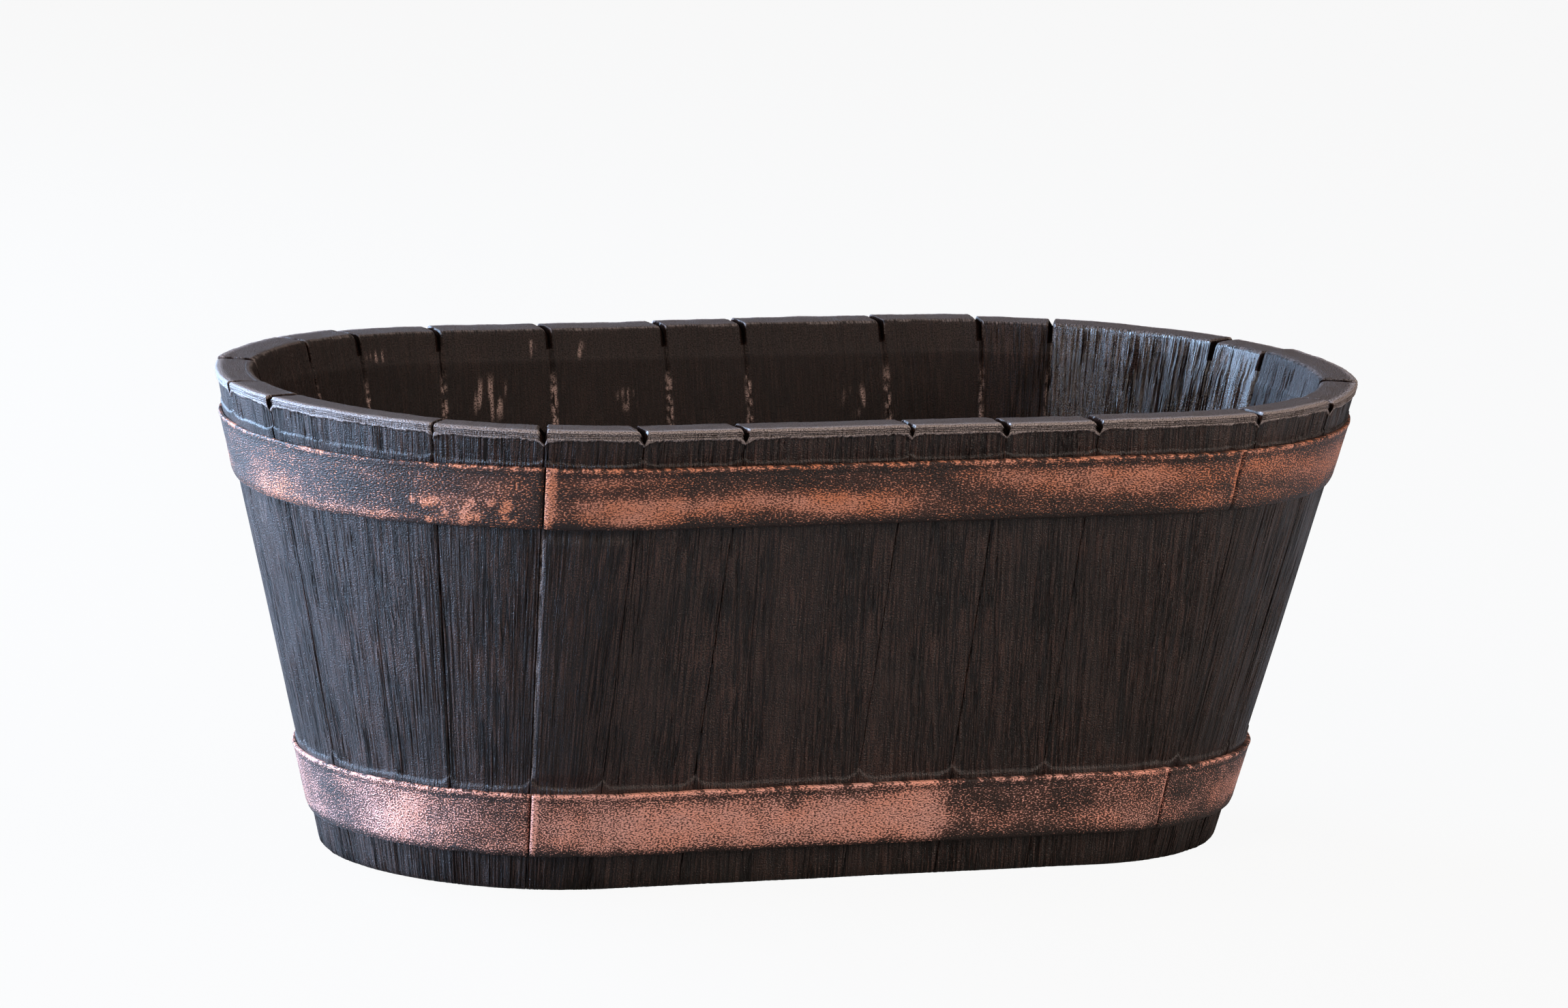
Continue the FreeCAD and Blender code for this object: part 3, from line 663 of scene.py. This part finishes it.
def makeStrap(hoop, side, seed):
    look = hoopLook["strap"]
    name = "%s_hoop_%s_strap" % (hoop, side)
    low, high = hoopLook["bands"][hoop]
    back, thickness = look["clearance"], look["thickness"][side]
    fromBack, fromFace = look["skin"]
    thin, dip = look["beaten"].get(name, (0, 0))
    bead, *beadEdge = look["topBead"]
    footFall, *footEdge = look["footFall"]
    endFall, *endEdge = look["endFall"]
    start, end = strapSpan(side)
    start += look["lapGap"]
    length = end - start - look["lapGap"]
    bm = plainStrap(length, low, high, thickness)
    brushLayer = bm.verts.layers.float.new("brush")
    flat = {}
    for vert in bm.verts:
        along, outward, height = vert.co
        up = (height - low) / (high - low)
        flat[vert] = ((start + along) * metre, height * metre)
        vert[brushLayer] = brushedOn(name, start + along, up, seed * hoopLook["paint"]["seedStep"])
        outer = ease(back + fromBack, back + thickness - fromFace, outward)
        middle = ease(*look["beatenFrom"], along / length) * ease(*look["beatenFrom"], 1 - along / length)
        outward -= thin * middle * (outward - back)
        height -= dip * middle
        outward += outer * sway(look["hammered"], along, height, seed)
        outward += outer * sway(look["faceSway"], along, height, seed)
        outward += outer * bead * ease(*beadEdge, up)
        outward -= outer * footFall * (1 - ease(*footEdge, up))
        outward -= outer * endFall * (1 - ease(*endEdge, min(along, length - along))) ** 2
        uneven = sway(look["edgeSway"], along, seed, 0) + sway(look["edgeFine"], along, seed, 0)
        height += uneven * abs(2 * up - 1) ** 2
        vert.co = wrapPoint(start + along, outward, height)
    finishPiece(bm, name, [hoopCopper[hoop]], "strapUV", flat)


# Materials

def newMaterial(name):
    material = bpy.data.materials.new(name)
    material.use_nodes = True
    return material, material.node_tree, material.node_tree.nodes["Principled BSDF"]


def newGroup(name, vectors, floats, outputs):
    group = bpy.data.node_groups.new(name, "ShaderNodeTree")
    for label in vectors:
        group.interface.new_socket(name=label, in_out="INPUT", socket_type="NodeSocketVector")
    for label, value in floats.items():
        socket = group.interface.new_socket(name=label, in_out="INPUT", socket_type="NodeSocketFloat")
        socket.default_value = value
    for label in outputs:
        group.interface.new_socket(name=label, in_out="OUTPUT", socket_type="NodeSocketFloat")
    return group, group.nodes.new("NodeGroupInput").outputs, group.nodes.new("NodeGroupOutput").inputs


def addNode(tree, kind, **values):
    node = tree.nodes.new(kind)
    for key, value in values.items():
        setattr(node, key, value)
    return node


def mathNode(tree, operation, first, second=None, clamp=False):
    node = addNode(tree, "ShaderNodeMath", operation=operation, use_clamp=clamp)
    for socket, value in zip(node.inputs, (first, second)):
        if isinstance(value, (int, float)):
            socket.default_value = value
        elif value is not None:
            tree.links.new(value, socket)
    return node.outputs[0]


def scaled(tree, value, factor):
    return mathNode(tree, "MULTIPLY", value, factor)


def rampNode(tree, value, low, high):
    node = addNode(tree, "ShaderNodeMapRange", interpolation_type="SMOOTHSTEP")
    node.inputs["From Min"].default_value = low
    node.inputs["From Max"].default_value = high
    tree.links.new(value, node.inputs["Value"])
    return node.outputs["Result"]


def spreadNode(tree, value, low, high):
    node = addNode(tree, "ShaderNodeMapRange")
    node.inputs["To Min"].default_value = low
    node.inputs["To Max"].default_value = high
    tree.links.new(value, node.inputs["Value"])
    return node.outputs["Result"]


def noiseNode(tree, vector, scale, detail, roughness):
    node = addNode(tree, "ShaderNodeTexNoise")
    node.inputs["Scale"].default_value = scale
    node.inputs["Detail"].default_value = detail
    node.inputs["Roughness"].default_value = roughness
    tree.links.new(vector, node.inputs["Vector"])
    return node.outputs["Fac"]


# the Mix node's sockets share their names, so they go by number
mixInputs = {"RGBA": (0, 6, 7), "FLOAT": (0, 2, 3)}
mixResult = {"RGBA": 2, "FLOAT": 0}


def mixNode(tree, factor, first, second, kind="RGBA"):
    node = addNode(tree, "ShaderNodeMix", data_type=kind)
    for number, value in zip(mixInputs[kind], (factor, first, second)):
        if isinstance(value, tuple):
            node.inputs[number].default_value = (*value, 1.0)
        else:
            tree.links.new(value, node.inputs[number])
    return node.outputs[mixResult[kind]]


def addBump(tree, shader, height, strength, distance):
    bump = addNode(tree, "ShaderNodeBump")
    bump.inputs["Strength"].default_value = strength
    bump.inputs["Distance"].default_value = distance
    tree.links.new(height, bump.inputs["Height"])
    tree.links.new(bump.outputs["Normal"], shader.inputs["Normal"])


grainLook = {
    "across": 900.0,  # bristle marks in a metre
    "lengthwise": 55.0,
    "longer": (0.42, 0.25, 1.0),  # scale of the longer grooves against the marks
    "sand": 1300.0,
    "grooveMiddle": 0.48,
    "grooveWidth": (0.012, 0.055),
    "grooveStrand": (0.28, 0.46),
    "patch": 0.09,  # scale of the places that are brushed deeper
    "patchEdge": (0.32, 0.54),
    "strandShare": 0.42,
    "sandShare": 0.58,
    "contrast": (0.44, 0.61),
    "grooveDepth": 0.7,
}


def makeGrainGroup():
    look = grainLook
    group, given, result = newGroup(
        "brushedGrain", ["Vector"], {"Across": look["across"], "Lengthwise": look["lengthwise"]},
        ["Strand", "Groove", "Sand", "Height"])
    split = addNode(group, "ShaderNodeSeparateXYZ")
    group.links.new(given["Vector"], split.inputs[0])
    join = addNode(group, "ShaderNodeCombineXYZ")
    group.links.new(scaled(group, split.outputs["X"], given["Across"]), join.inputs["X"])
    group.links.new(scaled(group, split.outputs["Y"], given["Lengthwise"]), join.inputs["Y"])
    stretch = addNode(group, "ShaderNodeVectorMath", operation="MULTIPLY")
    stretch.inputs[1].default_value = look["longer"]
    group.links.new(join.outputs[0], stretch.inputs[0])
    strand = noiseNode(group, join.outputs[0], scale=1.0, detail=2.0, roughness=0.6)
    fold = noiseNode(group, stretch.outputs[0], scale=1.0, detail=2.0, roughness=0.5)
    sand = noiseNode(group, given["Vector"], scale=look["sand"], detail=2.0, roughness=0.6)
    patch = noiseNode(group, stretch.outputs[0], scale=look["patch"], detail=2.0, roughness=0.6)
    offset = mathNode(group, "ABSOLUTE", mathNode(group, "SUBTRACT", fold, look["grooveMiddle"]))
    groove = mathNode(group, "SUBTRACT", 1.0, rampNode(group, offset, *look["grooveWidth"]))
    groove = scaled(group, groove, rampNode(group, strand, *look["grooveStrand"]))
    groove = scaled(group, groove, rampNode(group, patch, *look["patchEdge"]))
    strandPart = scaled(group, strand, look["strandShare"])
    mixed = mathNode(group, "ADD", strandPart, scaled(group, sand, look["sandShare"]))
    height = mathNode(group, "SUBTRACT", mixed, scaled(group, groove, look["grooveDepth"]))
    group.links.new(rampNode(group, mixed, *look["contrast"]), result["Strand"])
    group.links.new(groove, result["Groove"])
    group.links.new(sand, result["Sand"])
    group.links.new(height, result["Height"])
    return group


speckleLook = {
    "grain": 1250.0,
    "cloud": 0.035,  # scale of the clouds against the grain
    "bare": 0.68,  # the brush touches what stands higher than this, or lower the more it carries
    "carried": 0.30,
    "edge": (-0.02, 0.07),
    "cloudStain": 0.5,
    "stainEdge": (0.35, 1.15),
}


def makeSpeckleGroup():
    look = speckleLook
    group, given, result = newGroup(
        "dryBrush", ["Vector"], {"Amount": 0.5, "Grain": look["grain"]}, ["Mask", "Stain", "Height", "Cloud"])
    finer = addNode(group, "ShaderNodeVectorMath", operation="SCALE")
    group.links.new(given["Vector"], finer.inputs[0])
    group.links.new(given["Grain"], finer.inputs["Scale"])
    grit = noiseNode(group, finer.outputs[0], scale=1.0, detail=2.0, roughness=0.5)
    cloud = noiseNode(group, finer.outputs[0], scale=look["cloud"], detail=3.0, roughness=0.6)
    level = mathNode(group, "SUBTRACT", look["bare"], scaled(group, given["Amount"], look["carried"]))
    over = mathNode(group, "SUBTRACT", grit, level)
    soaked = mathNode(group, "ADD", given["Amount"], scaled(group, cloud, look["cloudStain"]))
    group.links.new(rampNode(group, over, *look["edge"]), result["Mask"])
    group.links.new(rampNode(group, soaked, *look["stainEdge"]), result["Stain"])
    group.links.new(grit, result["Height"])
    group.links.new(cloud, result["Cloud"])
    return group


woodLook = {
    "strand": ((0.0035, 0.0019, 0.0015), (0.066, 0.034, 0.0258)),  # dark and light
    "cloud": (0.008, 0.0046, 0.0037),
    "groove": (0.0016, 0.0011, 0.0010),
    # darker and plainer: planed wood, and the painted shade inside the tub
    "plain": ((0.0030, 0.0018, 0.0015), (0.0125, 0.0074, 0.0060)),
    # colour of the painted shade in the notches
    "notchShade": (0.002, 0.0015, 0.0013),
    "rim": ((0.030, 0.0235, 0.0215), (0.40, 0.33, 0.31)),
    "chalk": (0.34, 0.235, 0.205),
    "sandEdge": (0.32, 0.68),
    "chalkEdge": (0.38, 0.55),
    "cloudScale": 22.0,
    "cloudEdge": (0.35, 0.65),
    "cloudShare": 0.45,
    "grooveShare": 0.95,
    "planedAndShadedSmooth": 0.85,
    "roughRange": 0.24,
    "roughSand": 0.6,
    "roughCloud": 0.4,
    "sandHeight": 0.7,
    "bump": (1.0, 0.0011),  # strength and distance
    # specular level and least roughness of each finish
    "finishes": {"staveWood": (0.37, 0.24), "staveWoodInside": (0.12, 0.24), "staveWoodNotch": (0.0, 0.24),
                 "staveWoodPolished": (0.62, 0.15)},
}


def makeStaveWood(name):
    look = woodLook
    gloss, smoothest = look["finishes"][name]
    material, tree, shader = newMaterial(name)
    uv = addNode(tree, "ShaderNodeUVMap", uv_map="boardUV").outputs["UV"]
    wearAndPaintedLight, marks, planedAndShaded = (addNode(tree, "ShaderNodeAttribute", attribute_name=label).outputs["Fac"]
                           for label in ("wearAndPaintedLight", "marks", "inside"))
    grain = addNode(tree, "ShaderNodeGroup", node_tree=grainGroup)
    tree.links.new(uv, grain.inputs["Vector"])
    strand, groove, sand, height = (grain.outputs[label] for label in ("Strand", "Groove", "Sand", "Height"))
    rubbedAndLit = mathNode(tree, "MAXIMUM", wearAndPaintedLight, 0.0)
    notchShaded = mathNode(tree, "MULTIPLY", wearAndPaintedLight, -1.0, clamp=True)
    smooth = mathNode(tree, "MAXIMUM", rubbedAndLit, scaled(tree, planedAndShaded, look["planedAndShadedSmooth"]))
    sanded = rampNode(tree, sand, *look["sandEdge"])
    clouds = noiseNode(tree, uv, scale=look["cloudScale"], detail=3.0, roughness=0.6)
    cloud = rampNode(tree, clouds, *look["cloudEdge"])
    body = mixNode(tree, strand, *look["strand"])
    body = mixNode(tree, scaled(tree, cloud, look["cloudShare"]), body, look["cloud"])
    body = mixNode(tree, scaled(tree, groove, look["grooveShare"]), body, look["groove"])
    # planed faces, and the painted shade inside, go darker and plainer
    body = mixNode(tree, smooth, body, mixNode(tree, sanded, *look["plain"]))
    # painted shade darkens the notches
    body = mixNode(tree, notchShaded, body, look["notchShade"])
    # wear, and painted light on tops, bevels, edges and ledges, go to the rim's paler colour
    tone = mixNode(tree, rubbedAndLit, body, mixNode(tree, sanded, *look["rim"]))
    chalk = scaled(tree, marks, rampNode(tree, sand, *look["chalkEdge"]))
    tone = mixNode(tree, chalk, tone, look["chalk"])
    tree.links.new(tone, shader.inputs["Base Color"])
    shader.inputs["Specular IOR Level"].default_value = gloss
    sandPart = scaled(tree, sand, look["roughSand"])
    coarse = mathNode(tree, "ADD", sandPart, scaled(tree, cloud, look["roughCloud"]))
    rough = spreadNode(tree, coarse, smoothest, smoothest + look["roughRange"])
    tree.links.new(mathNode(tree, "MAXIMUM", rough, notchShaded), shader.inputs["Roughness"])
    relief = mixNode(tree, smooth, height, scaled(tree, sand, look["sandHeight"]), "FLOAT")
    addBump(tree, shader, relief, *look["bump"])
    return material


copperLook = {
    "drawn": (0.62, 1.15, 1.0),  # the grains lie along the strap
    "cloudEdge": (0.35, 0.65),
    "under": (0.016, 0.0085, 0.0068),
    "gloss": 0.36,
    "metal": 0.35,
    "roughness": (0.34, 0.56),
    "bump": (0.9, 0.0010),
    # orange and rose of the paint, and the stain under it
    "upperHoopCopper": ((0.66, 0.236, 0.121), (0.63, 0.282, 0.194), (0.112, 0.039, 0.0220)),
    "lowerHoopCopper": ((0.86, 0.390, 0.285), (0.80, 0.415, 0.338), (0.095, 0.038, 0.0275)),
}


def makeHoopCopper(name):
    look = copperLook
    orange, rose, stain = look[name]
    material, tree, shader = newMaterial(name)
    uv = addNode(tree, "ShaderNodeUVMap", uv_map="strapUV")
    drawn = addNode(tree, "ShaderNodeMapping")
    drawn.inputs["Scale"].default_value = look["drawn"]
    tree.links.new(uv.outputs["UV"], drawn.inputs["Vector"])
    brush = addNode(tree, "ShaderNodeAttribute", attribute_name="brush")
    speckle = addNode(tree, "ShaderNodeGroup", node_tree=speckleGroup)
    tree.links.new(drawn.outputs["Vector"], speckle.inputs["Vector"])
    tree.links.new(brush.outputs["Fac"], speckle.inputs["Amount"])
    mask, height = speckle.outputs["Mask"], speckle.outputs["Height"]
    copper = mixNode(tree, rampNode(tree, speckle.outputs["Cloud"], *look["cloudEdge"]), orange, rose)
    under = mixNode(tree, speckle.outputs["Stain"], look["under"], stain)
    tree.links.new(mixNode(tree, mask, under, copper), shader.inputs["Base Color"])
    shader.inputs["Specular IOR Level"].default_value = look["gloss"]
    tree.links.new(scaled(tree, mask, look["metal"]), shader.inputs["Metallic"])
    tree.links.new(spreadNode(tree, height, *look["roughness"]), shader.inputs["Roughness"])
    addBump(tree, shader, height, *look["bump"])
    return material


headLook = {
    "lengthwise": 25.0,
    "roughness": 0.6,
    "bump": (0.4, 0.0006),
    # finish of each board and of the dowels, its dark and its light
    "woods": {
        "head_board_front": ("headWoodFront", (0.012, 0.0085, 0.0072), (0.036, 0.026, 0.022)),
        "head_board_middle_front": ("headWoodMiddleFront", (0.018, 0.013, 0.011), (0.048, 0.035, 0.029)),
        "head_board_middle_back": ("headWoodMiddleBack", (0.014, 0.010, 0.0088), (0.039, 0.029, 0.025)),
        "head_board_back": ("headWoodBack", (0.017, 0.0118, 0.0098), (0.044, 0.031, 0.0255)),
        "head_dowels": ("dowelWood", (0.30, 0.20, 0.12), (0.42, 0.30, 0.19)),
    },
}


def makeHeadWood(name, dark, light):
    material, tree, shader = newMaterial(name)
    place = addNode(tree, "ShaderNodeTexCoord")
    turn = addNode(tree, "ShaderNodeMapping")
    turn.inputs["Rotation"].default_value = (0, 0, math.pi / 2)
    tree.links.new(place.outputs["Object"], turn.inputs["Vector"])
    grain = addNode(tree, "ShaderNodeGroup", node_tree=grainGroup)
    grain.inputs["Lengthwise"].default_value = headLook["lengthwise"]
    tree.links.new(turn.outputs["Vector"], grain.inputs["Vector"])
    tree.links.new(mixNode(tree, grain.outputs["Strand"], dark, light), shader.inputs["Base Color"])
    shader.inputs["Roughness"].default_value = headLook["roughness"]
    addBump(tree, shader, grain.outputs["Height"], *headLook["bump"])
    return material


grainGroup = makeGrainGroup()
speckleGroup = makeSpeckleGroup()
staveWood = makeStaveWood("staveWood")
staveWoodInside = makeStaveWood("staveWoodInside")  # the inside, painted darker as shade where less light falls, and the planed rim top, both duller
staveWoodNotch = makeStaveWood("staveWoodNotch")  # painted shade in the notches, dull and without gloss
staveWoodPolished = makeStaveWood("staveWoodPolished")
hoopCopper = {hoop: makeHoopCopper(hoop + "HoopCopper") for hoop in hoopLook["bands"]}
headWood = {node: makeHeadWood(*wood) for node, wood in headLook["woods"].items()}
print("materials made")

start = staveLook["board"]["firstJoint"]
for number, (name, (width, proud, brushed)) in enumerate(staveSet.items(), start=1):
    makeStave(name, start, width, proud, brushed, number)
    start += width
print("staves made:", len(staveSet))

straps = [(hoop, side) for hoop in hoopLook["bands"] for side in hoopLook["strap"]["thickness"]]
for number, (hoop, side) in enumerate(straps, start=1):
    makeStrap(hoop, side, number)
print("straps made:", len(straps))

for node, wood in headWood.items():
    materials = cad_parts[node].data.materials
    materials.clear()
    materials.append(wood)
print("head boards and dowels finished")

# Floor, light and camera

studio = {
    "floorSize": 6,
    "floorTone": (0.25, 0.245, 0.24, 1),
    "floorRoughness": 0.9,
    "floorWhite": 0.93,  # how much plain white the camera sees on the floor, and in the world
    "worldWhite": 1.0,
    "mirroredWhite": 0.04,  # and gloss and glass in both
    "worldTone": (0.70, 0.57, 0.52, 1),
    "worldStrength": 0.12,
    "lampTarget": (0, 0, 0.1),
    "lamps": {
        # place, width and height, watts, colour
        "windowLeft": ((-2.5, 0.95, 0.5), (1.9, 1.0), 300, (0.47, 0.67, 1.0)),
        "windowBack": ((-1.4, 2.3, 1.0), (1.6, 0.8), 190, (0.47, 0.69, 1.0)),
        "overhead": ((0.5, -0.3, 3.0), (2.4, 2.0), 35, (1.0, 0.94, 0.88)),
        "keyFront": ((-2.3, -1.9, 2.2), (1.2, 1.2), 90, (1.0, 0.88, 0.79)),
        "fillRight": ((2.5, -1.5, 0.9), (1.6, 1.0), 55, (1.0, 0.86, 0.78)),
    },
}


def showWhite(tree, lit, white, share, surface):
    path = addNode(tree, "ShaderNodeLightPath").outputs
    direct = scaled(tree, path["Is Camera Ray"], share)
    mirrored = mathNode(tree, "MAXIMUM", path["Is Glossy Ray"], path["Is Transmission Ray"])
    seen = mathNode(tree, "ADD", direct, scaled(tree, mirrored, studio["mirroredWhite"]))
    mix = addNode(tree, "ShaderNodeMixShader")
    for value, socket in zip((seen, lit.outputs[0], white.outputs[0]), mix.inputs):
        tree.links.new(value, socket)
    tree.links.new(mix.outputs[0], surface)


def makeFloor():
    bm = bmesh.new()
    bmesh.ops.create_grid(bm, x_segments=1, y_segments=1, size=studio["floorSize"])
    mesh = bpy.data.meshes.new("floor")
    bm.to_mesh(mesh)
    bm.free()
    floor = bpy.data.objects.new("floor", mesh)
    scene.collection.objects.link(floor)
    material, tree, shader = newMaterial("floorWhite")
    shader.inputs["Base Color"].default_value = studio["floorTone"]
    shader.inputs["Roughness"].default_value = studio["floorRoughness"]
    glow = addNode(tree, "ShaderNodeEmission")
    glow.inputs["Strength"].default_value = 1.0
    showWhite(tree, shader, glow, studio["floorWhite"], tree.nodes["Material Output"].inputs["Surface"])
    mesh.materials.append(material)


def makeWorld():
    world = bpy.data.worlds.new("studio")
    scene.world = world
    world.use_nodes = True
    tree = world.node_tree
    background = tree.nodes["Background"]
    background.inputs["Color"].default_value = studio["worldTone"]
    background.inputs["Strength"].default_value = studio["worldStrength"]
    white = addNode(tree, "ShaderNodeBackground")
    white.inputs["Strength"].default_value = 1.0
    showWhite(tree, background, white, studio["worldWhite"], tree.nodes["World Output"].inputs["Surface"])


def makeLamps():
    target = Vector(studio["lampTarget"])
    for name, (spot, size, watts, colour) in studio["lamps"].items():
        light = bpy.data.lights.new(name, "AREA")
        light.shape = "RECTANGLE"
        light.size, light.size_y = size
        light.energy = watts
        light.color = colour
        lamp = bpy.data.objects.new(name, light)
        lamp.location = spot
        lamp.rotation_euler = (target - Vector(spot)).to_track_quat("-Z", "Y").to_euler()
        scene.collection.objects.link(lamp)


viewpoint = {
    "azimuth": -23.87,  # degrees to the left of the front
    "elevation": 10.56,
    "roll": 2.6,
    "distance": 4.305,
    "pictureWidth": 2300,  # pixels
    "focalPixels": 12424.0,
    "centreLow": 144.8,  # pixels that the tub's middle lies under the middle of the picture
    "centreLeft": 2.5,
    "sensor": 36.0,
}


def makeCamera():
    azimuth, elevation, roll = (math.radians(viewpoint[key]) for key in ("azimuth", "elevation", "roll"))
    level = math.cos(elevation)
    target = Vector((0, 0, tub["height"] / 2 * metre))
    backward = Vector((math.sin(azimuth) * level, -math.cos(azimuth) * level, math.sin(elevation)))
    sideways = Vector((math.cos(azimuth), math.sin(azimuth), 0))
    facing = Matrix((sideways, backward.cross(sideways), backward)).transposed()
    focal = viewpoint["focalPixels"]
    tilt = Matrix.Rotation(math.atan(viewpoint["centreLow"] / focal), 3, "X")
    pan = Matrix.Rotation(-math.atan(viewpoint["centreLeft"] / focal), 3, "Y")
    turned = facing @ Matrix.Rotation(roll, 3, "Z") @ tilt @ pan
    data = bpy.data.cameras.new("camera")
    data.sensor_width = viewpoint["sensor"]
    data.lens = focal / viewpoint["pictureWidth"] * viewpoint["sensor"]
    camera = bpy.data.objects.new("camera", data)
    camera.matrix_world = Matrix.Translation(target + backward * viewpoint["distance"]) @ turned.to_4x4()
    scene.collection.objects.link(camera)
    scene.camera = camera


makeFloor()
makeWorld()
makeLamps()
makeCamera()
print("floor, lamps and camera placed")
